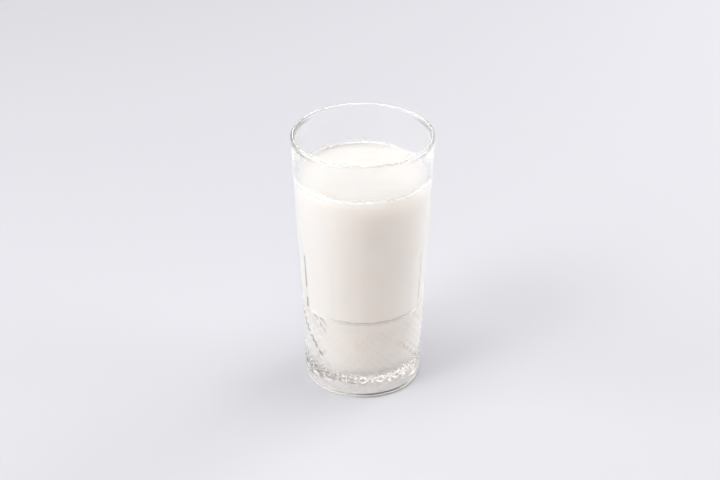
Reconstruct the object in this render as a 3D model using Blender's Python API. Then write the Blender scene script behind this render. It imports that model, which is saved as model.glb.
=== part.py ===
"""A glass of ayran: a tall pressed-glass tumbler, fluted over a diamond-cut foot, full of plain ayran.

The tumbler stands on the plane Z = 0 with its axis on Z, and its front faces -Y. All sizes are in metres.
"""

import math

import bmesh
import bpy

# The tumbler's outer wall is one straight cone, and its patterns are pressed into it.
HEIGHT = 0.152
RIM_RADIUS = 0.0401
HEEL_RADIUS = 0.0327  # of the same cone, carried down to the table
RIM_WALL = 0.0024  # the glass at the rim, which is fully rounded
FOOT_WALL = 0.0040  # the wall thickens evenly to this at the table's height

# The thick base: a rounded heel, a flat ring to stand on and a shallow recess inside it.
HEEL_ROUND = 0.0015
FOOT_RING_WIDTH = 0.0035
RECESS_DEPTH = 0.0010
RECESS_SLOPE = 0.0015  # how far in from the ring the recess reaches its depth
BASE_THICKNESS = 0.0110
BOWL_CORNER = 0.0090  # the round between the inner floor and the inner wall

# The diamond cut: small pyramids on end, two to each flute, between the plain heel and the ring line.
# Its lower edge is scalloped, with one round scallop under each flute.
DIAMONDS_BOTTOM = 0.0085
SCALLOP_RISE = 0.0080
SCALLOP_POWER = 4
RING_LINE = 0.0506
DIAMONDS_AROUND = 40
DIAMOND_ROWS = 8
DIAMOND_DEPTH = 0.0011

# The ring line is a groove that ends the diamonds, and the flutes rise from it.
RING_WIDTH = 0.0014
RING_DEPTH = 0.0004

# The flutes are shallow hollows between ridges. Each ends in a round arch, where it runs out.
FLUTES = 20
FLUTE_DEPTH = 0.0010
FLUTE_SHOULDER = 0.0870  # where two arches meet above a ridge
FLUTE_TOP = 0.0957  # the crown of each arch
FLUTE_FADE = 0.0010  # below the shoulder the hollow starts to run out
FRONT_RIDGE = math.radians(9.5)  # the first ridge to the right of the front

# The drink fills the bowl, and its level is well under the rim.
AYRAN_LEVEL = 0.1275
CONTACT_GAP = 0.0003

COLUMNS = 2 * DIAMONDS_AROUND
COLUMNS_PER_FLUTE = COLUMNS // FLUTES
ARC_STEPS = 6


def cone(z):
    """The radius of the tumbler's outer wall at a height, before any pattern."""
    return HEEL_RADIUS + (RIM_RADIUS - HEEL_RADIUS) * z / HEIGHT


def inner_wall(z):
    """The radius of the tumbler's inner wall at a height."""
    return cone(z) - FOOT_WALL + (FOOT_WALL - RIM_WALL) * z / HEIGHT


def column_angle(column):
    return FRONT_RIDGE - math.pi / 2 + 2 * math.pi * column / COLUMNS


def off_centre(column):
    """How far round a column is from the middle of its flute: 0 there and 1 on the ridges."""
    return abs(2 * (column % COLUMNS_PER_FLUTE) / COLUMNS_PER_FLUTE - 1)


def ring(radius, z):
    """A plain level ring, as one (radius, height) for each column."""
    return [(radius, z)] * COLUMNS


def arc(centre_radius, centre_z, size, start, end):
    """Plain rings along a round, from one angle to another in degrees, where 0 is outwards and 90 is up."""
    angles = [math.radians(start + (end - start) * i / ARC_STEPS) for i in range(ARC_STEPS + 1)]
    return [ring(centre_radius + size * math.cos(a), centre_z + size * math.sin(a)) for a in angles]


def diamond_ring(step):
    """One level of the diamond cut: pyramid tips on the cone and groove crossings under it, in turn."""
    z = DIAMONDS_BOTTOM + (RING_LINE - RING_WIDTH / 2 - DIAMONDS_BOTTOM) * step / (2 * DIAMOND_ROWS)
    points = []
    for column in range(COLUMNS):
        scallop = DIAMONDS_BOTTOM + SCALLOP_RISE * off_centre(column) ** SCALLOP_POWER
        crossing = (column + step) % 2 == 0 and z > scallop
        points.append((cone(z) - DIAMOND_DEPTH if crossing else cone(z), z))
    return points


def flute_ring(z):
    """One level of the flutes: each is a hollow between two ridges that lie on the cone."""
    return [(cone(z) - FLUTE_DEPTH * (1 - off_centre(c) ** 2), z) for c in range(COLUMNS)]


def arch_ring():
    """The edge where the flutes run out through the cone: highest in each flute's middle."""
    heights = [FLUTE_TOP - (FLUTE_TOP - FLUTE_SHOULDER) * off_centre(c) ** 2 for c in range(COLUMNS)]
    return [(cone(z), z) for z in heights]


def bowl(gap):
    """Plain rings of the hollow from its wall's foot in to the floor, drawn in by a gap."""
    corner = BOWL_CORNER - gap
    centre_z = BASE_THICKNESS + BOWL_CORNER
    return arc(inner_wall(centre_z) - gap - corner, centre_z, corner, 0, -90)


def tumbler_rings():
    """The tumbler's rings in order: out along the underside, up the wall, over the rim, down inside."""
    ring_line_top = RING_LINE + RING_WIDTH / 2
    foot_outer = cone(HEEL_ROUND) - HEEL_ROUND
    foot_inner = foot_outer - FOOT_RING_WIDTH
    rim_round = RIM_WALL / 2
    rim_base = HEIGHT - rim_round
    rings = [ring(foot_inner - RECESS_SLOPE, RECESS_DEPTH), ring(foot_inner, 0)]
    rings += arc(foot_outer, HEEL_ROUND, HEEL_ROUND, -90, 0)
    rings += [diamond_ring(step) for step in range(2 * DIAMOND_ROWS + 1)]
    rings += [ring(cone(RING_LINE) - RING_DEPTH, RING_LINE)]
    rings += [flute_ring(ring_line_top), flute_ring(FLUTE_SHOULDER - FLUTE_FADE), arch_ring()]
    rings += [ring(cone(FLUTE_TOP + FLUTE_FADE), FLUTE_TOP + FLUTE_FADE)]
    rings += arc(cone(rim_base) - rim_round, rim_base, rim_round, 0, 180)
    return rings + bowl(0)


def ayran_rings():
    """The drink's rings, from the middle of its underside out and up to its level."""
    return bowl(CONTACT_GAP)[::-1] + [ring(inner_wall(AYRAN_LEVEL) - CONTACT_GAP, AYRAN_LEVEL)]


def skin(mesh, lower, upper):
    """Faces between two neighbouring rings. Each is split along its lower diagonal, as a groove runs."""
    def radius(vert):
        return math.hypot(vert.co.x, vert.co.y)

    for column in range(COLUMNS):
        after = (column + 1) % COLUMNS
        a, b, c, d = lower[column], lower[after], upper[after], upper[column]
        if radius(a) + radius(c) < radius(b) + radius(d):
            corners = ((a, b, c), (a, c, d))
        else:
            corners = ((a, b, d), (b, c, d))
        for triangle in corners:
            mesh.faces.new(triangle)


def cap(mesh, ring_verts, faces_up):
    """A fan of faces that closes the inside of a level ring."""
    centre = mesh.verts.new((0, 0, ring_verts[0].co.z))
    for column in range(COLUMNS):
        after = ring_verts[(column + 1) % COLUMNS]
        edge = (ring_verts[column], after) if faces_up else (after, ring_verts[column])
        mesh.faces.new((centre, *edge))


def turned(name, rings, top_cap_up, material):
    """An object skinned over rings of columns, and closed on the axis at its first and last ring."""
    mesh = bmesh.new()
    verts = [
        [
            mesh.verts.new((r * math.cos(column_angle(c)), r * math.sin(column_angle(c)), z))
            for c, (r, z) in enumerate(points)
        ]
        for points in rings
    ]
    for lower, upper in zip(verts, verts[1:]):
        skin(mesh, lower, upper)
    cap(mesh, verts[0], faces_up=False)
    cap(mesh, verts[-1], faces_up=top_cap_up)
    data = bpy.data.meshes.new(name)
    mesh.to_mesh(data)
    mesh.free()
    data.shade_smooth()
    data.set_sharp_from_angle(angle=math.radians(12))
    data.materials.append(material)
    made = bpy.data.objects.new(name, data)
    bpy.context.scene.collection.objects.link(made)
    return made


def glass_material():
    """Clear, colourless pressed glass."""
    material = bpy.data.materials.new("clear_glass")
    material.use_nodes = True
    shader = material.node_tree.nodes["Principled BSDF"]
    shader.inputs["Base Color"].default_value = (0.95, 0.975, 0.965, 1)
    shader.inputs["Roughness"].default_value = 0.02
    shader.inputs["Metallic"].default_value = 0
    shader.inputs["IOR"].default_value = 1.52
    shader.inputs["Transmission Weight"].default_value = 1
    return material


def ayran_material():
    """Opaque, creamy white yoghurt drink."""
    material = bpy.data.materials.new("ayran_drink")
    material.use_nodes = True
    shader = material.node_tree.nodes["Principled BSDF"]
    shader.inputs["Base Color"].default_value = (0.90, 0.87, 0.82, 1)
    shader.inputs["Roughness"].default_value = 0.3
    shader.inputs["Metallic"].default_value = 0
    return material


def main():
    for old in list(bpy.data.objects):
        bpy.data.objects.remove(old, do_unlink=True)
    turned("tumbler", tumbler_rings(), True, glass_material())
    turned("ayran", ayran_rings(), True, ayran_material())


main()
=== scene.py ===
# %% [markdown]
# # A glass of ayran
#
# Ayran is a cold drink of yoghurt, water and salt. Here it fills a tall tumbler of clear pressed glass.
# Such a glass is made in a mould, so its pattern is part of the wall: shallow hollow flutes that run
# out upwards as round arches, a ring line, a band of small diamonds with a scalloped lower edge, and a
# plain, thick heel.
#
# The lesson builds three pieces around a fixed frame that gives their sizes: the tumbler, the drink,
# and the thin film that the drink leaves on the wall. Then it lights them like a small studio. All
# lengths are in metres.

# %% Load the frame
import math

import bpy
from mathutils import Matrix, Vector


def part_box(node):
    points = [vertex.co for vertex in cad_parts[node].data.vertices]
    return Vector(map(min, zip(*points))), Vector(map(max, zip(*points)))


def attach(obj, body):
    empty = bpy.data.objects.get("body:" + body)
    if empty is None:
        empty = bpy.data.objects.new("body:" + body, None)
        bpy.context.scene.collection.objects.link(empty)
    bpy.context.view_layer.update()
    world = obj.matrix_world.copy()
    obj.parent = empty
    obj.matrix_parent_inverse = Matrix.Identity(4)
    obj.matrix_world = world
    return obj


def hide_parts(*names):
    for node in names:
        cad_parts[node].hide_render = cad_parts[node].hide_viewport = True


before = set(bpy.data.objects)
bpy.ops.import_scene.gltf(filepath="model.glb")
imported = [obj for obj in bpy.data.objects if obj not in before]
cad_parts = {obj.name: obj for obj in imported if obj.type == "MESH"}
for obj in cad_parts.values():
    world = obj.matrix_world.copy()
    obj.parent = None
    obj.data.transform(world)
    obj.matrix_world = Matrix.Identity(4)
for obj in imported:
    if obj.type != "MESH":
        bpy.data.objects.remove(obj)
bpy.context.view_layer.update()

# %% [markdown]
# ## Driving sizes
#
# The frame's tumbler and drink give the height and the level. The rest are the wall's few driving
# sizes. The outer wall is one straight cone, and every pattern is pressed into that cone, so nothing
# stands proud of it. A glass maker draws it the same way: first the plain blank, then what the mould
# adds.

# %% Sizes of the glass
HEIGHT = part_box("tumbler")[1].z
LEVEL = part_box("ayran")[1].z
RIM_RADIUS, HEEL_RADIUS = 0.0401, 0.0327
RIM_WALL, FOOT_WALL = 0.0024, 0.0040
HEEL_ROUND, FOOT_RING_WIDTH = 0.0015, 0.0035
RECESS_DEPTH, RECESS_SLOPE = 0.0010, 0.0015
BASE_THICKNESS, BOWL_CORNER = 0.0110, 0.0090


def cone(z):
    """The radius of the outer wall at a height, before any pattern."""
    return HEEL_RADIUS + (RIM_RADIUS - HEEL_RADIUS) * z / HEIGHT


def inner_wall(z):
    """The radius of the inner wall at a height."""
    return cone(z) - FOOT_WALL + (FOOT_WALL - RIM_WALL) * z / HEIGHT


print(f"height {HEIGHT * 1000:.1f} mm, level {LEVEL * 1000:.1f} mm, wall at the level",
      f"{(cone(LEVEL) - inner_wall(LEVEL)) * 1000:.1f} mm")

# %% Sizes of the pressed pattern
DIAMONDS_BOTTOM, RING_LINE = 0.0085, 0.0506
DIAMONDS_AROUND, DIAMOND_ROWS, DIAMOND_DEPTH = 40, 8, 0.0011
SCALLOP_RISE, SCALLOP_POWER = 0.0080, 4
RING_WIDTH, RING_DEPTH = 0.0014, 0.0004
FLUTES, FLUTE_SHOULDER, FLUTE_TOP, FLUTE_DEPTH = 20, 0.0870, 0.0957, 0.0010
FRONT_RIDGE = math.radians(9.5)
DIAMONDS_TOP = RING_LINE - RING_WIDTH / 2
HALF_ROW = (DIAMONDS_TOP - DIAMONDS_BOTTOM) / (2 * DIAMOND_ROWS)
HALF_FLUTE = math.pi / FLUTES
HALF_DIAMOND = math.pi / DIAMONDS_AROUND
DIAMOND_WIDTH = 2 * HALF_DIAMOND * cone(RING_LINE)
print(f"a diamond is {DIAMOND_WIDTH * 1000:.2f} mm wide and {2 * HALF_ROW * 1000:.2f} mm tall")

# %% [markdown]
# ## The pressed pattern as a depth
#
# A pattern in a mould is a depth below a smooth wall. It could be carved with hundreds of small
# cutters, but that is slow and leaves ragged edges. So each pattern here is a small function of the
# angle round the glass, counted from a ridge between two flutes, and of the height. A soft minimum
# joins the faces, because pressed glass has no knife edges: the hot glass rounds them by about a tenth
# of a millimetre.

# %% Soft joins between faces
def soft_min(a, b, softness):
    """The lower of two values, with the corner between them rounded."""
    near = max(softness - abs(a - b), 0) / softness
    return min(a, b) - near * near * softness / 4


def triangle_wave(x):
    """0 at even whole numbers and 1 at odd ones, straight between them."""
    return 1 - abs(x % 2 - 1)


print("a soft join of two faces that meet at height 1 lies at", soft_min(1, 1, 0.2))

# %% Diamonds and scallops
TIP_SOFTNESS, GROOVE_FLOOR, TIP_FLAT = 0.18, 0.06, 0.93
BAND_SLOPE, BAND_SOFTNESS = 1.3, 0.00015


def scallop_edge(turn):
    """The height of the pattern's lower edge: one round scallop under each flute."""
    off = abs((turn / HALF_FLUTE) % 2 - 1)
    return DIAMONDS_BOTTOM + SCALLOP_RISE * off**SCALLOP_POWER


def diamond_depth(turn, z):
    """How far the diamond cut lies under the cone: 0 on the tips of the pyramids."""
    across, up = turn / HALF_DIAMOND, (z - DIAMONDS_BOTTOM) / HALF_ROW
    tip = soft_min(triangle_wave(across + up), triangle_wave(across - up), TIP_SOFTNESS)
    depth = DIAMOND_DEPTH * (1 - min(max(tip, GROOVE_FLOOR), TIP_FLAT))
    inside = min(z - scallop_edge(turn), DIAMONDS_TOP - z)
    return max(soft_min(depth, BAND_SLOPE * inside, BAND_SOFTNESS), 0)


print(f"the scallops rise {(scallop_edge(0) - scallop_edge(HALF_FLUTE)) * 1000:.1f} mm between the flutes")

# %% Flutes and the ring line
FLUTE_SOFTNESS = 0.00012


def flute_radius(turn, z):
    """The wall's radius in the fluted part: shallow hollows that run out through the cone as arches."""
    off = (turn / HALF_FLUTE) % 2 - 1
    rise = max((z - FLUTE_SHOULDER) / (FLUTE_TOP - FLUTE_SHOULDER), 0)
    hollow = cone(z) - FLUTE_DEPTH * (1 - off * off - rise)
    return soft_min(cone(z), hollow, FLUTE_SOFTNESS)


def ring_depth(z):
    """The round-bottomed groove that parts the flutes from the diamonds."""
    off = (z - RING_LINE) / (RING_WIDTH / 2)
    return RING_DEPTH * (0.5 + 0.5 * math.cos(math.pi * off)) if abs(off) < 1 else 0


def wall_radius(turn, z):
    """The outer wall's radius, with whatever is pressed into it at that height."""
    if z <= DIAMONDS_TOP:
        return cone(z) - diamond_depth(turn, z)
    return min(flute_radius(turn, z) if z > RING_LINE else cone(z), cone(z) - ring_depth(z))


FLUTED_HEIGHT = 0.07
hollow_depth = cone(FLUTED_HEIGHT) - wall_radius(HALF_FLUTE, FLUTED_HEIGHT)
print(f"the flutes' hollows lie {hollow_depth * 1000:.2f} mm under the cone")

# %% [markdown]
# ## Turning a piece from rings
#
# All three pieces are turned forms, so a mesh is a stack of rings: the same number of columns all the
# way, each column a little wedge of the circle. A Screw modifier would turn a profile too, but it can't
# press a pattern that changes round the glass. Ten columns to a diamond are enough to draw its four
# faces. Quads between two rings are split along their lower diagonal, so that a groove that runs
# slantwise stays one clean line.

# %% Rings
COLUMNS_PER_DIAMOND = 10
COLUMNS = COLUMNS_PER_DIAMOND * DIAMONDS_AROUND


def column_turn(column):
    """A column's angle from the first ridge to the right of the front."""
    return 2 * math.pi * column / COLUMNS


def ring(radius, z):
    """A plain level ring, as one (radius, height) for each column."""
    return [(radius, z)] * COLUMNS


def wall_ring(z):
    """A ring of the outer wall, with its pattern."""
    return [(wall_radius(column_turn(c), z), z) for c in range(COLUMNS)]


def arc(centre_radius, centre_z, size, start, end, steps):
    """Plain rings along a round, from one angle to another in degrees, where 0 is outwards and 90 is up."""
    angles = [math.radians(start + (end - start) * i / steps) for i in range(steps + 1)]
    return [ring(centre_radius + size * math.cos(a), centre_z + size * math.sin(a)) for a in angles]


def span(start, end, steps):
    """Evenly spaced heights after start, up to end."""
    return [start + (end - start) * (i + 1) / steps for i in range(steps)]


print(f"{COLUMNS} columns, each {2 * math.pi * RIM_RADIUS / COLUMNS * 1000:.2f} mm wide at the rim")

# %% From points to an object
def new_object(name, points, faces):
    """A smooth-shaded mesh object in the scene."""
    mesh = bpy.data.meshes.new(name)
    mesh.from_pydata(points, [], faces)
    mesh.validate()
    mesh.shade_smooth()
    made = bpy.data.objects.new(name, mesh)
    bpy.context.scene.collection.objects.link(made)
    print(name, "faces:", len(mesh.polygons))
    return made


def ring_points(rings):
    """The rings' points in space. Column 0 stands on the first ridge to the right of the front."""
    start = FRONT_RIDGE - math.pi / 2
    return [
        (radius * math.cos(start + column_turn(c)), radius * math.sin(start + column_turn(c)), z)
        for levels in rings
        for c, (radius, z) in enumerate(levels)
    ]


print("first column:", [f"{value * 1000:.1f} mm" for value in ring_points([ring(RIM_RADIUS, HEIGHT)])[0]])

# %% From rings to a turned piece
def turned(name, rings):
    """An object skinned over rings from first to last, and closed on the axis at both ends."""
    points, faces = ring_points(rings), []
    for i, (lower, upper) in enumerate(zip(rings, rings[1:])):
        below, above = i * COLUMNS, (i + 1) * COLUMNS
        for c in range(COLUMNS):
            after = (c + 1) % COLUMNS
            corners = [below + c, below + after, above + after, above + c]
            rising = lower[c][0] + upper[after][0] < lower[after][0] + upper[c][0]
            split = ((0, 1, 2), (0, 2, 3)) if rising else ((0, 1, 3), (1, 2, 3))
            faces += [tuple(corners[k] for k in triangle) for triangle in split]
    last = (len(rings) - 1) * COLUMNS
    for first, z, turn_back in ((0, rings[0][0][1], True), (last, rings[-1][0][1], False)):
        points.append((0, 0, z))
        for c in range(COLUMNS):
            edge = (first + c, first + (c + 1) % COLUMNS)
            faces.append((len(points) - 1, *(edge[::-1] if turn_back else edge)))
    return new_object(name, points, faces)


print("triangles between two rings:", 2 * COLUMNS)

# %% [markdown]
# ## The tumbler
#
# The rings run out along the underside, round the heel, up the patterned wall, over the rim and down
# inside to the floor of the bowl. The rim is a full round, because it is melted smooth with a flame
# after pressing. The underside has a flat ring to stand on and a shallow recess, which keeps the glass
# from rocking. A glass needs both its skins, outer and inner: light bends at each of them, and a single
# skin would look like a bubble.

# %% Build the tumbler
AXIS_CAP, RECESS_MARGIN, SLOPE_STEPS = 0.010, 0.002, 8
ARCH_START, ARCH_END = FLUTE_SHOULDER - 0.002, FLUTE_TOP + 0.001


def underside_rings():
    """The recess, its soft slope down to the foot ring, and the round of the heel."""
    foot_outer = cone(HEEL_ROUND) - HEEL_ROUND
    foot_inner = foot_outer - FOOT_RING_WIDTH
    recess_edge = foot_inner - RECESS_SLOPE
    rings = [ring(AXIS_CAP, RECESS_DEPTH), ring(recess_edge - RECESS_MARGIN, RECESS_DEPTH)]
    for part in (step / SLOPE_STEPS for step in range(SLOPE_STEPS + 1)):
        slope = RECESS_DEPTH * (0.5 + 0.5 * math.cos(math.pi * part))
        rings.append(ring(foot_inner - RECESS_SLOPE * (1 - part), slope))
    return rings + arc(foot_outer, HEEL_ROUND, HEEL_ROUND, -90, 0, 10)


def tumbler_rings():
    """All rings of the glass. They lie closest where the pattern is finest."""
    rim_round = RIM_WALL / 2
    rim_base = HEIGHT - rim_round
    heights = span(HEEL_ROUND, DIAMONDS_BOTTOM, 6)
    heights += span(DIAMONDS_BOTTOM, DIAMONDS_TOP, DIAMOND_ROWS * COLUMNS_PER_DIAMOND)
    heights += span(DIAMONDS_TOP, RING_LINE + RING_WIDTH / 2, 8)
    heights += span(RING_LINE + RING_WIDTH / 2, ARCH_START, 10)
    heights += span(ARCH_START, ARCH_END, 20)
    heights += span(ARCH_END, rim_base, 6)
    rings = underside_rings() + [wall_ring(z) for z in heights]
    rings += arc(cone(rim_base) - rim_round, rim_base, rim_round, 0, 180, 16)[1:]
    corner_z = BASE_THICKNESS + BOWL_CORNER
    rings += [ring(inner_wall(z), z) for z in span(rim_base, corner_z, 8)[:-1]]
    rings += arc(inner_wall(corner_z) - BOWL_CORNER, corner_z, BOWL_CORNER, 0, -90, 12)
    return rings + [ring(AXIS_CAP, BASE_THICKNESS)]


tumbler = turned("pressed_tumbler", tumbler_rings())

# %% [markdown]
# ## The drink
#
# Where a drink meets glass there is no air between them, so the drink's side reaches a tenth of a
# millimetre into the wall: the eye then sees white right behind the glass. At the top the drink wets
# the wall and climbs it by about half a millimetre. That curve, the meniscus, catches light as a thin
# bright ring. Its rings lie close at the wall and grow wider inwards, because the surface is soon
# level.

# %% Build the drink
INTO_GLASS = 0.00012
MENISCUS_RISE, MENISCUS_REACH = 0.0004, 0.0011
SURFACE_RINGS_MM = (0.0, 0.2, 0.4, 0.7, 1.1, 1.6, 2.3, 3.2, 4.5, 7, 11, 16, 22)


def drink_rings():
    """The rings of the drink: its floor, its round corner, its side, and its surface in to the middle."""
    corner = BOWL_CORNER + INTO_GLASS
    corner_z = BASE_THICKNESS + BOWL_CORNER
    top = LEVEL + MENISCUS_RISE
    rings = [ring(AXIS_CAP, BASE_THICKNESS - INTO_GLASS)]
    rings += arc(inner_wall(corner_z) + INTO_GLASS - corner, corner_z, corner, -90, 0, 12)
    rings += [ring(inner_wall(z) + INTO_GLASS, z) for z in span(corner_z, top, 24)]
    for inwards in (millimetres / 1000 for millimetres in SURFACE_RINGS_MM):
        surface = LEVEL + MENISCUS_RISE * math.exp(-inwards / MENISCUS_REACH)
        rings.append(ring(inner_wall(top) - inwards, surface))
    return rings


drink = turned("ayran_filling", drink_rings())

# %% [markdown]
# ## The film above the drink
#
# Ayran clings. When the glass is filled or carried, a thin milky film stays on the wall just above the
# level, dense at the bottom and broken into short drips at the top. It is modelled as a very thin
# closed shell, a little over four millimetres tall, that starts inside the drink's edge. Its ragged
# upper edge comes later, from the finish, because drips this small would need far too many faces.

# %% Build the film
FILM_HEIGHT, FILM_THICKNESS = 0.0042, 0.0001
FILM_OVERLAP = 0.0004


def film_shell():
    """A closed thin shell round the inside of the wall: up its outer skin and down its inner one."""
    heights = span(LEVEL - FILM_OVERLAP, LEVEL + FILM_HEIGHT, 6)
    outer = [(inner_wall(z) + INTO_GLASS / 2, z) for z in heights]
    inner = [(radius - INTO_GLASS / 2 - FILM_THICKNESS, z) for radius, z in reversed(outer)]
    rings = [ring(radius, z) for radius, z in outer + inner]
    faces = []
    for i in range(len(rings)):
        this, following = i * COLUMNS, (i + 1) % len(rings) * COLUMNS
        for c in range(COLUMNS):
            after = (c + 1) % COLUMNS
            faces.append((this + c, this + after, following + after, following + c))
    return new_object("ayran_film", ring_points(rings), faces)


film = film_shell()

# %% [markdown]
# ## Helpers for finishes
#
# A finish is a graph of small nodes. Sums and smooth steps turn a place on the glass into a mask, and a
# mask turns one colour into another. Blender's node calls are long, so a small class gives them short
# names. It adds nothing of its own: every call makes one ordinary node that can be looked at in the
# shader editor.

# %% A node tree with short calls
class Tree:
    """A material's, group's or world's node tree, with short calls for what the finishes need."""

    def __init__(self, tree):
        self.nodes, self.links = tree.nodes, tree.links

    def add(self, kind, **settings):
        """A new shader node with its settings."""
        node = self.nodes.new("ShaderNode" + kind)
        for name, value in settings.items():
            setattr(node, name, value)
        return node

    def put(self, socket, value):
        """Feeds a socket from another node, or gives it a value."""
        if isinstance(value, bpy.types.NodeSocket):
            self.links.new(value, socket)
        else:
            socket.default_value = value

    def do(self, operation, *values):
        """One sum. It returns its result."""
        node = self.add("Math", operation=operation)
        for socket, value in zip(node.inputs, values):
            self.put(socket, value)
        return node.outputs[0]

    def times(self, first, *others):
        """All the values multiplied."""
        for other in others:
            first = self.do("MULTIPLY", first, other)
        return first

    def step(self, value, start, end, at_start=0.0, at_end=1.0):
        """A smooth step between two values, while the given value goes from start to end."""
        node = self.add("MapRange", interpolation_type="SMOOTHSTEP")
        given = {"Value": value, "From Min": start, "From Max": end, "To Min": at_start, "To Max": at_end}
        for name, amount in given.items():
            self.put(node.inputs[name], amount)
        return node.outputs[0]

    def place(self):
        """The piece's own x, y and z."""
        split = self.add("SeparateXYZ")
        self.links.new(self.add("TexCoord").outputs["Object"], split.inputs[0])
        return split.outputs

    def mixed(self, factor, first, second):
        """A colour between two, by a mask."""
        mix = self.add("Mix", data_type="RGBA")
        mix.inputs["A"].default_value = (*first, 1)
        mix.inputs["B"].default_value = (*second, 1)
        self.links.new(factor, mix.inputs["Factor"])
        return mix.outputs["Result"]

    def bump(self, height, strength, distance):
        """A normal that is lifted by a height."""
        node = self.add("Bump")
        node.inputs["Strength"].default_value = strength
        node.inputs["Distance"].default_value = distance
        self.links.new(height, node.inputs["Height"])
        return node.outputs[0]

    def placed(self, group, **values):
        """A shared group placed here with its own values. It returns the group's outputs."""
        node = self.add("Group", node_tree=group)
        for name, value in values.items():
            node.inputs[name.replace("_", " ")].default_value = value
        return node.outputs


print("short calls:", [name for name in vars(Tree) if not name.startswith("_")])

# %% A new material and a new group
def new_material(name):
    """A material, its tree and its Principled shader."""
    material = bpy.data.materials.new(name)
    material.use_nodes = True
    return material, Tree(material.node_tree), material.node_tree.nodes["Principled BSDF"]


def new_group(name, inputs, outputs):
    """A shader node group. The inputs give names and first values, and a triple makes a vector socket."""
    group = bpy.data.node_groups.new(name, "ShaderNodeTree")
    for socket, value in inputs.items():
        kind = "NodeSocketVector" if isinstance(value, tuple) else "NodeSocketFloat"
        group.interface.new_socket(name=socket, in_out="INPUT", socket_type=kind).default_value = value
    for socket in outputs:
        group.interface.new_socket(name=socket, in_out="OUTPUT", socket_type="NodeSocketFloat")
    return group, group.nodes.new("NodeGroupInput").outputs, group.nodes.new("NodeGroupOutput").inputs


print("materials so far:", len(bpy.data.materials), "and groups so far:", len(bpy.data.node_groups))

# %% [markdown]
# ## Unevenness, as a shared group
#
# Nothing on a pressed glass or in a yoghurt drink is quite even: the glass waves a little, its lines
# are sharper in some places than in others, and the drink has faint swirls. All of these are soft noise
# over the piece's own coordinates, only finer or coarser, so one group serves every finish. It gives
# the plain noise, for heights, and a mask that steps from the least to the most value where the noise
# passes between two marks.

# %% The group for unevenness
UNEVEN_INPUTS = {
    "Stretch": (1.0, 1.0, 1.0),
    "Scale": 100.0,
    "Detail": 1.0,
    "Start": 0.0,
    "End": 1.0,
    "Least": 0.0,
    "Most": 1.0,
}


def uneven_group():
    """Soft noise, and a mask made from it."""
    group, given, out = new_group("unevenness", UNEVEN_INPUTS, ("Noise", "Mask"))
    tree = Tree(group)
    sizes, noise = tree.add("Mapping"), tree.add("TexNoise")
    tree.links.new(tree.add("TexCoord").outputs["Object"], sizes.inputs["Vector"])
    tree.links.new(given["Stretch"], sizes.inputs["Scale"])
    tree.links.new(sizes.outputs[0], noise.inputs["Vector"])
    tree.links.new(given["Scale"], noise.inputs["Scale"])
    tree.links.new(given["Detail"], noise.inputs["Detail"])
    fac = noise.outputs["Fac"]
    tree.links.new(fac, out["Noise"])
    tree.links.new(tree.step(fac, given["Start"], given["End"], given["Least"], given["Most"]), out["Mask"])
    return group


UNEVEN = uneven_group()
print("group:", UNEVEN.name, "takes", list(UNEVEN_INPUTS), "and has", len(UNEVEN.nodes), "nodes")

# %% [markdown]
# ## The pressed pattern as masks
#
# The mesh already has the flutes and the diamonds. But the eye reads a pressed glass mostly by thin dark and
# bright lines along its ridges and grooves, finer than any mesh, and the drink behind them shows a soft echo
# of each line, shifted a little by the thick wall. So the same sizes that shaped the mesh now make masks for
# painted shade: the ridges between the flutes, the cuts between the diamonds, the ring line, and a tone for
# each diamond. Both the glass and the drink paint their shade with them, so they are a group too, and each
# finish sets how wide its lines are and how far they are shifted.
#
# A random number for each line says how strongly its painted shade is drawn, so some lines are crisp and some
# faint. The seeds are fixed, so it comes out the same each time, but they aren't the first that came: tens of
# thousands were tried in a copy of the renderer's noise, outside this script. These three were picked because
# they make one cut and one ridge at the left edge crisp, and most lines beside them and at the right edge
# duller.

# %% A sharpness for each line
FALLING_SEED, RISING_SEED, RIDGE_SEED = 3398, 12788, 38927


def random_of(tree, first, second):
    """A random number from 0 to 1 for each pair of whole numbers."""
    pair = tree.add("CombineXYZ")
    tree.put(pair.inputs[0], first)
    tree.put(pair.inputs[1], second)
    noise = tree.add("TexWhiteNoise", noise_dimensions="2D")
    tree.links.new(pair.outputs[0], noise.inputs["Vector"])
    return noise.outputs["Value"]


def sharpness(tree, number, seed, evenness):
    """How strongly one line's painted shade is drawn, from the evenness up to 1. Most lines are near the
    evenness.
    """
    sharp = tree.do("POWER", random_of(tree, number, float(seed)), 2.0)
    return tree.do("ADD", tree.times(tree.do("SUBTRACT", 1.0, sharp), evenness), sharp)


def number_of(tree, value, rounding, count):
    """The whole number of a line or a cell, counted round the glass."""
    return tree.do("FLOORED_MODULO", tree.do(rounding, value), count)


print("seeds:", FALLING_SEED, RISING_SEED, RIDGE_SEED)

# %% Masks of the ridges and of the cuts
RIDGE_NARROWEST = 0.45
RIDGE_FADE_BELOW, RIDGE_FADE_ABOVE = 0.001, 0.004
BAND_FADE_BELOW, BAND_FADE_ABOVE = 0.0015, 0.0012


def ridge_mask(tree, turn, z, given):
    """The ridges between flutes. They widen downwards, as the hollows between them deepen."""
    flute = tree.do("PINGPONG", tree.do("DIVIDE", turn, HALF_FLUTE), 1.0)
    to_ridge = tree.times(flute, HALF_FLUTE * cone(FLUTED_HEIGHT))
    width = tree.times(given["Ridge Width"], tree.step(z, RING_LINE, FLUTE_SHOULDER, 1.0, RIDGE_NARROWEST))
    fluted = tree.times(
        tree.step(z, RING_LINE, RING_LINE + RIDGE_FADE_BELOW),
        tree.step(z, FLUTE_SHOULDER - RIDGE_FADE_ABOVE, FLUTE_SHOULDER, 1.0, 0.0),
    )
    number = number_of(tree, tree.do("DIVIDE", turn, 2 * HALF_FLUTE), "ROUND", FLUTES)
    sharp = sharpness(tree, number, RIDGE_SEED, given["Evenness"])
    return tree.times(tree.step(to_ridge, 0.0, width, 1.0, 0.0), fluted, sharp)


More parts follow.
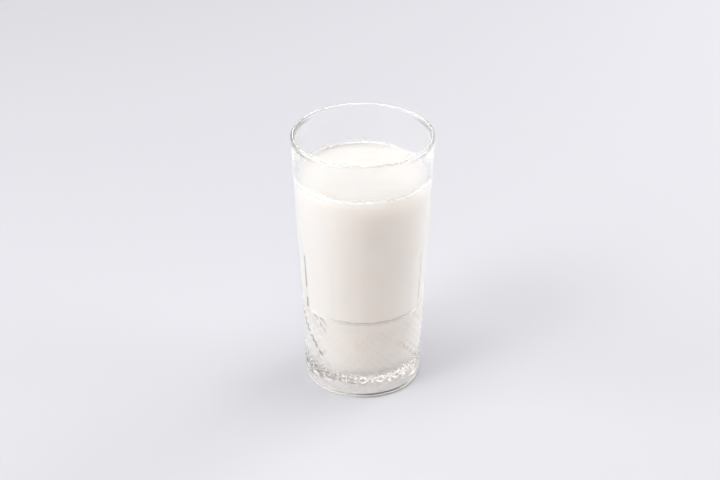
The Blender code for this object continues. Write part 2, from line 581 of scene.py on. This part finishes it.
def cut_masks(tree, turn, z, given):
    """The cuts, which run both ways round the glass, and a random tone for each diamond between them."""
    across = tree.do("DIVIDE", turn, HALF_DIAMOND)
    up = tree.do("DIVIDE", tree.do("SUBTRACT", z, DIAMONDS_BOTTOM), HALF_ROW)
    cuts, cells = [], []
    for way, seed in (("ADD", FALLING_SEED), ("SUBTRACT", RISING_SEED)):
        along = tree.do(way, across, up)
        half = tree.times(along, 0.5)
        sharp = sharpness(tree, number_of(tree, half, "ROUND", DIAMONDS_AROUND), seed, given["Evenness"])
        line = tree.step(tree.do("PINGPONG", along, 1.0), 0.0, given["Cut Width"], 1.0, 0.0)
        cuts.append(tree.times(line, sharp))
        cells.append(number_of(tree, half, "FLOOR", DIAMONDS_AROUND))
    band = tree.times(
        tree.step(z, DIAMONDS_BOTTOM, DIAMONDS_BOTTOM + BAND_FADE_BELOW),
        tree.step(z, DIAMONDS_TOP - BAND_FADE_ABOVE, DIAMONDS_TOP, 1.0, 0.0),
    )
    return tree.times(tree.do("MAXIMUM", *cuts), band), tree.times(random_of(tree, *cells), band)


print("the ridges fade out over", RIDGE_FADE_ABOVE, "m and the cuts over", BAND_FADE_ABOVE, "m")

# %% The group for the pattern
PATTERN_INPUTS = {
    "Turn Shift": 0.0,
    "Height Shift": 0.0,
    "Ridge Width": 0.001,
    "Cut Width": 0.25,
    "Ring Width": 0.0006,
    "Evenness": 1.0,
}


def pattern_group():
    """Masks of the ridges between flutes, the cuts between diamonds, the ring line, and the diamonds."""
    masks = ("Ridges", "Cuts", "Ring", "Diamonds")
    group, given, out = new_group("pressed_pattern", PATTERN_INPUTS, masks)
    tree = Tree(group)
    x, y, height = tree.place()
    turn = tree.do("ADD", tree.do("ARCTAN2", y, x), math.pi / 2 - FRONT_RIDGE)
    turn = tree.do("ADD", turn, given["Turn Shift"])
    z = tree.do("ADD", height, given["Height Shift"])
    cuts, diamonds = cut_masks(tree, turn, z, given)
    to_ring = tree.do("ABSOLUTE", tree.do("SUBTRACT", z, RING_LINE))
    tree.links.new(ridge_mask(tree, turn, z, given), out["Ridges"])
    tree.links.new(cuts, out["Cuts"])
    tree.links.new(diamonds, out["Diamonds"])
    tree.links.new(tree.step(to_ring, 0.0, given["Ring Width"], 1.0, 0.0), out["Ring"])
    return group


PATTERN = pattern_group()
print("group:", PATTERN.name, "has", len(PATTERN.nodes), "nodes")

# %% [markdown]
# ## The finish of pressed glass
#
# Clear glass has no colour of its own. What shows are its lines: each ridge, groove and rounded edge bends
# light from somewhere dark, so it draws a thin grey stroke, strongest where the wall turns away from the eye.
# The mesh alone gives broad soft lines. The masks add the thin ones as painted shade, a darker glass in the
# line itself: the ridges and cuts at the glass's sides, broken up in places by noise, a stipple of dark
# specks in the scallops for the light that tiny facets there would bend, the ring line, a line in the round
# of the rim, and a painted contact shadow along the heel. They are painted, not bent light. Most show by how
# far the wall turns from the eye, so they move with the view, and many are stronger on one side of the glass
# than on the other: all of that was set one by one. A very faint wave over the whole wall keeps the
# reflections from being perfect, as in real pressed glass.

# %% Lines in the glass
# A step of a mask is given by where it starts and ends, and then by its values there unless they are 0 and 1.
# The darker line glass is painted shade: it stands in for light that the lines bend from somewhere dark.
GLASS, PAINTED_LINE_SHADE = (0.996, 1.0, 0.998), (0.04, 0.05, 0.045)
# The ring line's painted shade is full across the front and fades towards both sides.
PAINTED_RING_FROM, PAINTED_RING_TO, PAINTED_RING_LEFT = (-0.024, -0.010), (0.024, 0.031), 0.1
RIDGES_SLANT, CUTS_SLANT = (0.45, 0.58), (0.27, 0.42)
CUTS_RIGHT = (0.005, 0.025, 1.0, 0.4)


def outward(tree):
    """The direction straight out from the axis, which ignores the pattern."""
    flat = tree.add("VectorMath", operation="MULTIPLY")
    flat.inputs[1].default_value = (1, 1, 0)
    unit = tree.add("VectorMath", operation="NORMALIZE")
    tree.links.new(tree.add("TexCoord").outputs["Object"], flat.inputs[0])
    tree.links.new(flat.outputs[0], unit.inputs[0])
    return unit.outputs[0]


def slant_of(tree, normal=None):
    """How far the surface turns away, from 0 to 1: along its own normal or along a given one."""
    slant = tree.add("LayerWeight")
    slant.inputs["Blend"].default_value = 0.5
    if normal:
        tree.links.new(normal, slant.inputs["Normal"])
    return slant.outputs["Facing"]


def painted_ring_strength(tree, x, dull):
    """How strongly the ring line's painted shade is drawn: full across the front, fading towards both sides.
    """
    return tree.times(tree.step(x, *PAINTED_RING_FROM, PAINTED_RING_LEFT, 1.0), tree.step(x, *PAINTED_RING_TO, 1.0, dull))


def side_lines(tree, pattern, x):
    """Painted shade along the ridges and the cuts where the wall turns away, broken up in places by noise."""
    slant = slant_of(tree, outward(tree))
    # Noise breaks the painted shade lines up in places.
    broadly_broken = tree.placed(UNEVEN, Scale=110, Start=0.32, End=0.46, Least=0.25)["Mask"]
    ridges = tree.times(pattern["Ridges"], tree.step(slant, *RIDGES_SLANT), broadly_broken)
    finely_broken = tree.placed(UNEVEN, Scale=330, Start=0.36, End=0.52, Least=0.15)["Mask"]
    cuts = tree.times(pattern["Cuts"], tree.step(slant, *CUTS_SLANT), tree.step(x, *CUTS_RIGHT), finely_broken)
    return tree.do("MAXIMUM", ridges, cuts)


print("across the front, the ring line is crisp from", PAINTED_RING_FROM[1], "to", PAINTED_RING_TO[0], "m")

# %% Lines at the edges of the glass
# These lines are painted shade as well: the ring line, dark specks in the scallops, a dark line in the rim's
# round that is left off at the back, and a painted contact shadow along the heel that is strongest at the
# right.
PAINTED_RING_SHADE, PAINTED_RING_RIGHT = 0.25, 0.1
SCALLOPS_BELOW, SCALLOPS_ABOVE = (0.0088, 0.0100), (0.0125, 0.0155)
STIPPLE_ACROSS = (-0.004, 0.004, 0.75, 0.3)
RIM_SLANT, RIM_BACK = (0.25, 0.6), (0.018, 0.032, 0.6, 0.0)
RIM_LINE_START, RIM_LINE_END = HEIGHT - 0.0032, HEIGHT - 0.0022
HEEL_SHADOW_LINE, HEEL_SHADOW_ACROSS = (0.0004, 0.0016), (-0.008, 0.004, 0.25, 1.0)


def edge_lines(tree, x, y, z):
    """Painted shade: dark specks in the scallops, a dark line in the round of the rim, left off at the back,
    and a painted contact shadow along the heel.
    """
    tips = tree.placed(UNEVEN, Stretch=(1, 1, 0.7), Scale=1000, Start=0.46, End=0.57)["Mask"]
    scallops = tree.times(tree.step(z, *SCALLOPS_ABOVE, 1.0, 0.0), tree.step(z, *SCALLOPS_BELOW))
    stipple = tree.times(tips, scallops, tree.step(x, *STIPPLE_ACROSS))
    rim = tree.times(
        tree.step(slant_of(tree), *RIM_SLANT),
        tree.step(z, RIM_LINE_START, RIM_LINE_END),
        tree.step(y, *RIM_BACK),
    )
    heel = tree.times(tree.step(z, *HEEL_SHADOW_LINE, 1.0, 0.0), tree.step(x, *HEEL_SHADOW_ACROSS))
    return tree.do("MAXIMUM", stipple, tree.do("MAXIMUM", rim, heel))


def glass_lines(tree):
    """One mask of all the painted shade lines in the glass."""
    x, y, z = tree.place()
    pattern = tree.placed(PATTERN, Ridge_Width=0.0022, Cut_Width=1.1, Ring_Width=0.0008, Evenness=0.08)
    ring_line = tree.times(pattern["Ring"], PAINTED_RING_SHADE, painted_ring_strength(tree, x, PAINTED_RING_RIGHT))
    lines = tree.do("MAXIMUM", side_lines(tree, pattern, x), ring_line)
    return tree.do("MAXIMUM", lines, edge_lines(tree, x, y, z))


print("the stipple lies", SCALLOPS_BELOW[0], "to", SCALLOPS_ABOVE[1], "m above the table")

# %% [markdown]
# ### Light that goes through glass
#
# Light that goes straight through two walls of glass would need a long search by the renderer, and the
# search leaves noise. So for shadow rays, and for light that bounces off dull things, the glass counts
# as a clear sheet that holds back a little light, and more of it where the wall is seen at a slant. The
# thick foot is different: there the light that bounces about inside is what makes it look like a solid
# block. So the foot keeps real glass for bounced light, and the wall above it doesn't. That makes two
# materials of one look.

# %% Glass material
GLASS_IOR = 1.52
SHEET, SLANT_POWER = (0.95, 0.955, 0.952), 4.0
WAVE_STRENGTH, WAVE_DEPTH = 0.12, 0.0002


def clear_sheet(tree):
    """A transparent shader that holds back more light at a slant."""
    sheet = tree.add("BsdfTransparent")
    slant = tree.do("POWER", slant_of(tree), SLANT_POWER)
    tree.links.new(tree.mixed(slant, SHEET, (0, 0, 0)), sheet.inputs["Color"])
    return sheet.outputs[0]


def shader_mix(tree, factor, first, second):
    """One shader or the other, by a ray's kind."""
    mix = tree.add("MixShader")
    tree.put(mix.inputs[0], factor)
    tree.links.new(first, mix.inputs[1])
    tree.links.new(second, mix.inputs[2])
    return mix.outputs[0]


def clear_glass(name, sheet_for_bounces):
    """Clear pressed glass, which may count as a clear sheet for bounced light as well as for shadows."""
    material, tree, shader = new_material(name)
    tree.links.new(tree.mixed(glass_lines(tree), GLASS, PAINTED_LINE_SHADE), shader.inputs["Base Color"])
    shader.inputs["Roughness"].default_value = 0
    shader.inputs["IOR"].default_value = GLASS_IOR
    shader.inputs["Transmission Weight"].default_value = 1
    wave = tree.placed(UNEVEN, Stretch=(1, 1, 0.6), Scale=90)["Noise"]
    tree.links.new(tree.bump(wave, WAVE_STRENGTH, WAVE_DEPTH), shader.inputs["Normal"])
    ray = tree.add("LightPath").outputs
    sheet, surface = clear_sheet(tree), shader.outputs[0]
    if sheet_for_bounces:
        surface = shader_mix(tree, ray["Is Diffuse Ray"], surface, sheet)
    surface = shader_mix(tree, ray["Is Shadow Ray"], surface, sheet)
    tree.links.new(surface, tree.nodes["Material Output"].inputs["Surface"])
    print(name, "has", len(tree.nodes), "nodes")
    return material


straight_shine = ((GLASS_IOR - 1) / (GLASS_IOR + 1)) ** 2
print(f"each side of the glass throws back {straight_shine:.1%} of the light that comes straight at it")

# %% Give the tumbler its two glasses
FOOT_MARGIN = 0.001
FOOT_TOP = BASE_THICKNESS + FOOT_MARGIN
tumbler.data.materials.append(clear_glass("clear_wall_glass", True))
tumbler.data.materials.append(clear_glass("clear_foot_glass", False))
for face in tumbler.data.polygons:
    face.material_index = int(face.center.z < FOOT_TOP)
print("faces of the foot:", sum(face.material_index for face in tumbler.data.polygons))

# %% [markdown]
# ## The finish of ayran
#
# Ayran is white because it is full of tiny drops of fat and curd: light goes in, scatters about a
# centimetre and comes out again, a little warmer than it went in. A plain matt white would look like
# plaster. Subsurface scattering gives the soft, deep white, with red reaching a little further than
# blue.
#
# The side of the drink is seen through the pattern, so it carries a faint echo of each line: greyer
# under the cuts, the ring line and the ridges, a slightly different tone in each diamond, and broad
# soft patches, as a wall of facets gathers or spreads the light. All of this is painted on, and so are
# two things more: a slightly darker patch at the front, a little under the level, and a weak glow at
# the floor of the drink and just under its level. They are makeshifts, set by trial until the tones
# came near the wanted ones. Light that is caught in the thick foot, or that comes in from above, may be
# what brightens those places in a real glass, but that wasn't tested. The patch and the glow go by
# place on the drink, so they suit the lights of this scene only, and in a dark room the glow would
# show. There, set GLOW_STRENGTH and FILM_GLOW_STRENGTH to 0.

# %% The milky body
CREAM, CREAM_SHADE = (0.920, 0.908, 0.891), (0.60, 0.60, 0.57)
SCATTER_REACH, SCATTER_COLOURS = 0.013, (1.0, 0.9, 0.82)


def milky(name, roughness, specular):
    """A material that light goes into, scatters in and comes out of a little further on."""
    material, tree, shader = new_material(name)
    shader.inputs["Roughness"].default_value = roughness
    shader.inputs["Specular IOR Level"].default_value = specular
    shader.inputs["Subsurface Weight"].default_value = 1.0
    shader.inputs["Subsurface Radius"].default_value = SCATTER_COLOURS
    shader.inputs["Subsurface Scale"].default_value = SCATTER_REACH
    return material, tree, shader


print("light reaches", SCATTER_REACH * 1000, "mm into the drink")

# %% The side of the drink, behind the pattern
CUT_ECHO, DIAMOND_ECHO, RIDGE_ECHO, PATCH_ECHO = 0.09, 0.03, 0.05, 0.055
# The ring's echo on the drink is painted shade as well, fainter at the right.
RING_ECHO, ECHO_RING_RIGHT = 0.6, 0.2
PATTERN_MIDDLE, PATTERN_FADE = 0.030, (0.014, 0.021)
SHADED_PLACE, SHADED_ACROSS, SHADED_UP, SHADE = (0.006, 0.108), 0.014, 0.020, 0.11


def distance(tree, value, mark):
    """How far a value lies from a mark, on either side."""
    return tree.do("ABSOLUTE", tree.do("SUBTRACT", value, mark))


def echo_of_pattern(tree, x, z):
    """How much painted shade each place gets, as from the glass in front of it."""
    pattern = tree.placed(
        PATTERN,
        Turn_Shift=0.03,
        Height_Shift=0.0012,
        Cut_Width=0.9,
        Ring_Width=0.0014,
        Evenness=0.75,
    )
    patchy = tree.placed(UNEVEN, Scale=150, Start=0.38, End=0.62)["Mask"]
    broad = tree.placed(UNEVEN, Stretch=(1, 1, 2.4), Scale=55, Start=0.42, End=0.66)["Mask"]
    from_pattern = distance(tree, z, PATTERN_MIDDLE)
    beside = tree.step(distance(tree, x, SHADED_PLACE[0]), 0.0, SHADED_ACROSS, SHADE, 0.0)
    over = tree.step(distance(tree, z, SHADED_PLACE[1]), 0.0, SHADED_UP, 1.0, 0.0)
    shades = (
        tree.times(pattern["Cuts"], CUT_ECHO, patchy),
        tree.times(pattern["Diamonds"], DIAMOND_ECHO),
        tree.times(broad, tree.step(from_pattern, *PATTERN_FADE, PATCH_ECHO, 0.0)),
        tree.times(pattern["Ring"], RING_ECHO, painted_ring_strength(tree, x, ECHO_RING_RIGHT)),
        tree.times(pattern["Ridges"], RIDGE_ECHO),
        tree.times(beside, over),
    )
    total = 0.0
    for shade in shades:
        total = tree.do("ADD", total, shade)
    return total


print("the soft patches fade out", PATTERN_FADE[1], "m over and under", PATTERN_MIDDLE, "m")

# %% The side of the drink, with its weak glow
GLOW, GLOW_STRENGTH = (1.0, 0.94, 0.90), 0.28
GLOW_OVER_FLOOR, FLOOR_GLOW_ACROSS = 0.006, (-0.02, 0.0, 1.0, 0.67)
GLOW_UNDER_LEVEL, TOP_GLOW_ACROSS = 0.012, (-0.03, 0.022, 0.03, 0.25)


def ayran_behind_glass():
    """The side and the floor of the drink, with painted shade from the pattern and a painted glow."""
    material, tree, shader = milky("ayran_behind_glass", roughness=0.35, specular=0.2)
    x, _, z = tree.place()
    echo = echo_of_pattern(tree, x, z)
    tree.links.new(tree.mixed(echo, CREAM, CREAM_SHADE), shader.inputs["Base Color"])
    low = tree.times(
        tree.step(z, BASE_THICKNESS, BASE_THICKNESS + GLOW_OVER_FLOOR, 1.0, 0.0),
        tree.step(x, *FLOOR_GLOW_ACROSS),
    )
    high = tree.times(tree.step(z, LEVEL - GLOW_UNDER_LEVEL, LEVEL), tree.step(x, *TOP_GLOW_ACROSS))
    glow = tree.mixed(tree.do("MAXIMUM", low, high), (0, 0, 0), GLOW)
    tree.links.new(glow, shader.inputs["Emission Color"])
    shader.inputs["Emission Strength"].default_value = GLOW_STRENGTH
    print(material.name, "has", len(tree.nodes), "nodes")
    return material


behind_glass = ayran_behind_glass()

# %% [markdown]
# ### The wet top and the streaks
#
# The top of the drink is wet, so it is smoother and glossier than the side, with faint swirls of
# thicker yoghurt and a barely uneven surface. The film above it has the same white, but so thin a
# shell came out too dark with scattering alone, so it too gets a glow as a makeshift. Its Alpha comes
# from two noises, one broad and one fine and both drawn out downwards, less the height above the level:
# what is left of it is dense at the drink's edge and thins out into drips.

# %% The wet top of the drink
# The top's white is greyer than the side's CREAM: painted shade that tones down the top, which the lamps
# above light most.
SHADED_TOP_CREAM = (0.888, 0.888, 0.882)
RIPPLE_STRENGTH, RIPPLE_DEPTH = 0.15, 0.0003
SWIRLS = {"Stretch": (1, 1.6, 1), "Scale": 70, "Detail": 3, "Start": 0.4, "End": 0.75, "Most": 0.09}


def ayran_surface():
    """The wet top: smooth, with faint swirls of thicker yoghurt."""
    material, tree, shader = milky("ayran_surface", roughness=0.2, specular=0.3)
    swirl = tree.placed(UNEVEN, **SWIRLS)["Mask"]
    tree.links.new(tree.mixed(swirl, SHADED_TOP_CREAM, CREAM_SHADE), shader.inputs["Base Color"])
    ripple = tree.placed(UNEVEN, Scale=160, Detail=2)["Noise"]
    tree.links.new(tree.bump(ripple, RIPPLE_STRENGTH, RIPPLE_DEPTH), shader.inputs["Normal"])
    print(material.name, "has", len(tree.nodes), "nodes")
    return material


wet_top = ayran_surface()

# %% The streaks of the film
THIN_CREAM, FILM_GLOW, FILM_GLOW_STRENGTH = (0.88, 0.85, 0.82), (1.0, 0.97, 0.93, 1), 0.34
WIDE_SHARE, FINE_SHARE, FILM_THINNING, FILM_DENSEST = 0.75, 0.5, 0.6, 0.84


def ayran_streaks():
    """The film: dense at the drink's edge, then thinning into short drips and streaks."""
    material, tree, shader = milky("ayran_streaks", roughness=0.4, specular=0.2)
    shader.inputs["Emission Color"].default_value = FILM_GLOW
    shader.inputs["Emission Strength"].default_value = FILM_GLOW_STRENGTH
    fine = tree.placed(UNEVEN, Stretch=(1, 1, 0.35), Scale=420, Detail=2)["Noise"]
    wide = tree.placed(UNEVEN, Stretch=(1, 1, 0.2), Scale=60)["Noise"]
    reach = tree.do("ADD", tree.times(wide, WIDE_SHARE), tree.times(fine, FINE_SHARE))
    up = tree.do("DIVIDE", tree.do("SUBTRACT", tree.place()["Z"], LEVEL), FILM_HEIGHT)
    remaining = tree.do("SUBTRACT", reach, up)
    dense = tree.step(remaining, 0.0, FILM_THINNING, 0.0, FILM_DENSEST)
    tree.links.new(dense, shader.inputs["Alpha"])
    tree.links.new(tree.mixed(fine, CREAM, THIN_CREAM), shader.inputs["Base Color"])
    print(material.name, "has", len(tree.nodes), "nodes")
    return material


streaks = ayran_streaks()

# %% Give the drink and the film their finishes
TOP_MARGIN, FACES_UP = 0.0001, 0.3
drink.data.materials.append(behind_glass)
drink.data.materials.append(wet_top)
for face in drink.data.polygons:
    face.material_index = int(face.center.z > LEVEL - TOP_MARGIN and face.normal.z > FACES_UP)
film.data.materials.append(streaks)
print("faces of the wet top:", sum(face.material_index for face in drink.data.polygons))

# %% [markdown]
# ## Tie the pieces to the frame
#
# The fixed frame has plain solids for the glass and for the drink, which carry weight and collision.
# The pieces made here stand in for them: each moves with a body, and the frame's solids are hidden. The film
# has no solid of its own: it is part of the drink. Nothing moves on a glass of ayran, so the only body is the
# root.

# %% Tie them
for piece, finish in ((tumbler, "clear_glass"), (drink, "ayran_drink"), (film, "ayran_drink")):
    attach(piece, "root")
    print(piece.name, "shows", finish)
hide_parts("tumbler")
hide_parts("ayran")

# %% [markdown]
# ## The table
#
# A glass needs something to stand on: without it there is nothing to see through the foot, and no
# shadow to tie it to its place. A plain, pale, cool table top keeps the eye on the drink. It is a
# single large sheet, dull, so that it shows only a soft shadow. It lies three hundredths of a
# millimetre under the foot ring: two faces at exactly the same height would flicker between each other.

# %% Build the table
TABLE_REACH, TABLE_GAP = 2.0, 0.00003
PALE_TABLE, TABLE_ROUGHNESS, TABLE_SHINE = (0.729, 0.752, 0.815, 1), 0.6, 0.2


def table_top():
    """One large level sheet just under the foot."""
    signs = ((-1, -1), (1, -1), (1, 1), (-1, 1))
    corners = [(x * TABLE_REACH, y * TABLE_REACH, -TABLE_GAP) for x, y in signs]
    made = new_object("table_top", corners, [(0, 1, 2, 3)])
    material, tree, shader = new_material("pale_table")
    shader.inputs["Base Color"].default_value = PALE_TABLE
    shader.inputs["Roughness"].default_value = TABLE_ROUGHNESS
    shader.inputs["Specular IOR Level"].default_value = TABLE_SHINE
    made.data.materials.append(material)
    return made


table_top()

# %% [markdown]
# ## The lights
#
# White things are lit by shade more than by light: if light comes from all sides, a white drink is a flat
# white shape. So the broad soft light comes from above and from the left, and the front right of the glass
# stays a little darker. Round lamps of half a metre to nearly two metres give soft shadows without edges. Two
# lamps stand at the right and light only its edge. Their places are listed below.
# Their powers come from a fit: each lamp was rendered alone, and the mixture was worked out whose tones
# come nearest to the wanted ones. Lamps in the room would also be seen as white blobs through the
# glass, so none of them shows through it, and the one behind at the right isn't seen in its shine
# either. Real lamps can't be hidden like that.
#
# A weak, warm lamp in front stands for light that comes back from the room, and is hidden in the glass,
# where its colour would show. The last lamp, behind the glass, is there for the rim alone: it draws the
# bright line along the far edge. It shines on the tumbler only, because it would burn out the white of
# the drink.

# %% Soft lamps
AIM, RIM_AIM = (0, 0, 0.07), (0, 0, 0.15)


def area_light(name, place, aim, size, power, colour):
    """A round lamp that faces a point and isn't seen through glass."""
    data = bpy.data.lights.new(name, "AREA")
    data.shape = "DISK"
    data.size = size
    data.energy = power
    data.color = colour
    made = bpy.data.objects.new(name, data)
    made.location = place
    made.rotation_euler = (Vector(aim) - Vector(place)).to_track_quat("-Z", "Y").to_euler()
    made.visible_transmission = False
    bpy.context.scene.collection.objects.link(made)
    print(f"{name}: {size} m across, {power} W")
    return made


WHITE = (1, 1, 1)
LAMPS = {
    "ceiling": ((0, 0, 1.9), 1.8, 15.0),
    "window": ((-0.85, -0.68, 1.16), 0.55, 4.8),
    "left_front": ((-1.3, -0.9, 0.5), 1.0, 4.1),
    "left": ((-1.5, -0.1, 0.55), 1.0, 7.5),
    "right": ((1.5, 0.1, 0.6), 1.2, 7.9),
    "right_back": ((1.2, 1.0, 0.6), 1.0, 11.8),
}
for name, (place, size, power) in LAMPS.items():
    lamp = area_light(name, place, AIM, size, power, WHITE)
    lamp.visible_glossy = name != "right_back"

# %% The warm lamp and the lamp for the rim
WARM = (1, 0.50, 0.06)
warm = area_light("warm_front", (0.3, -1.8, 0.5), AIM, 1.4, 3.8, WARM)
warm.visible_glossy = False

shine = area_light("rim_shine", (0, 2.19, 1.36), RIM_AIM, 0.5, 18, WHITE)
shine.data.shape = "RECTANGLE"
shine.data.size_y = 1.1
shine.visible_diffuse = False
shine_receivers = bpy.data.collections.new("shine_receivers")
shine_receivers.objects.link(tumbler)
shine.light_linking.receiver_collection = shine_receivers

# %% [markdown]
# ## The room
#
# A glass shows its surroundings. In a black room its foot would be black, and in an even white one it
# would vanish. So the world gives an even, faintly warm light to everything, and for rays that have
# passed through glass it is brighter at the left, as a room with its windows there. That only glass
# shows this bright side is a makeshift too. The bright part is a band that leaves out the floor and the
# ceiling, so the foot keeps some darker lines.

# %% Light the room
ROOM_COLOUR, ROOM_STRENGTH = (1.0, 0.89, 0.82, 1), 0.28
SEEN_LEFT, SEEN_RIGHT, LEFT_TO_RIGHT = 1.5, 0.6, (0.0, 0.45)
BAND_BELOW, BAND_ABOVE = (0.02, 0.2), (0.62, 0.82)


def room():
    """The room's soft light. Glass shows its bright side at the left and its dim side at the right."""
    world = bpy.data.worlds.new("room")
    world.use_nodes = True
    tree = Tree(world.node_tree)
    split = tree.add("SeparateXYZ")
    tree.links.new(tree.add("TexCoord").outputs["Generated"], split.inputs[0])
    across, _, up = split.outputs
    side = tree.step(across, *LEFT_TO_RIGHT, SEEN_LEFT - ROOM_STRENGTH, SEEN_RIGHT - ROOM_STRENGTH)
    band = tree.times(tree.step(up, *BAND_BELOW), tree.step(up, *BAND_ABOVE, 1.0, 0.0))
    seen = tree.times(side, band, tree.add("LightPath").outputs["Is Transmission Ray"])
    background = tree.nodes["Background"].inputs
    background["Color"].default_value = ROOM_COLOUR
    tree.links.new(tree.do("ADD", seen, ROOM_STRENGTH), background["Strength"])
    return world


bpy.context.scene.world = room()
print(f"the room glows at {ROOM_STRENGTH}, and through glass at {SEEN_LEFT} left and {SEEN_RIGHT} right")

# %% [markdown]
# ## The camera
#
# The camera looks down at the glass from 1.4 metres away, as someone sees it who is about to sit down
# at the table. The long lens keeps the sides of the glass nearly straight. The standard view keeps
# whites white.

# %% Place the camera
CAMERA_PLACE, CAMERA_DOWN = (-0.00148, -1.1844, 0.7462), math.radians(29.17)
LENS_MM, SENSOR_MM = 120, 36
camera_data = bpy.data.cameras.new("camera")
camera_data.lens = LENS_MM
camera_data.sensor_width = SENSOR_MM
camera = bpy.data.objects.new("camera", camera_data)
camera.location = CAMERA_PLACE
camera.rotation_euler = (math.pi / 2 - CAMERA_DOWN, 0, 0)
bpy.context.scene.collection.objects.link(camera)
bpy.context.scene.camera = camera
bpy.context.scene.view_settings.view_transform = "Standard"
print(f"camera {Vector(CAMERA_PLACE).length:.2f} m from the foot, {LENS_MM} mm lens")

# %% [markdown]
# ## Light paths through thick glass
#
# Each wall of a glass is two surfaces, and light that is caught in the thick foot bounces many times
# before it gets out. The usual limit of a dozen bounces would leave black spots there, so the limits
# are raised. The many dull bounces are for the drink: white scatters nearly all of its light onwards.

# %% Raise the limits
GLASS_BOUNCES, DULL_BOUNCES = 24, 20
cycles = bpy.context.scene.cycles
cycles.max_bounces = GLASS_BOUNCES
cycles.glossy_bounces = GLASS_BOUNCES
cycles.transmission_bounces = GLASS_BOUNCES
cycles.transparent_max_bounces = GLASS_BOUNCES
cycles.diffuse_bounces = DULL_BOUNCES
print("bounces:", cycles.max_bounces, "of which dull:", cycles.diffuse_bounces)

# %% [markdown]
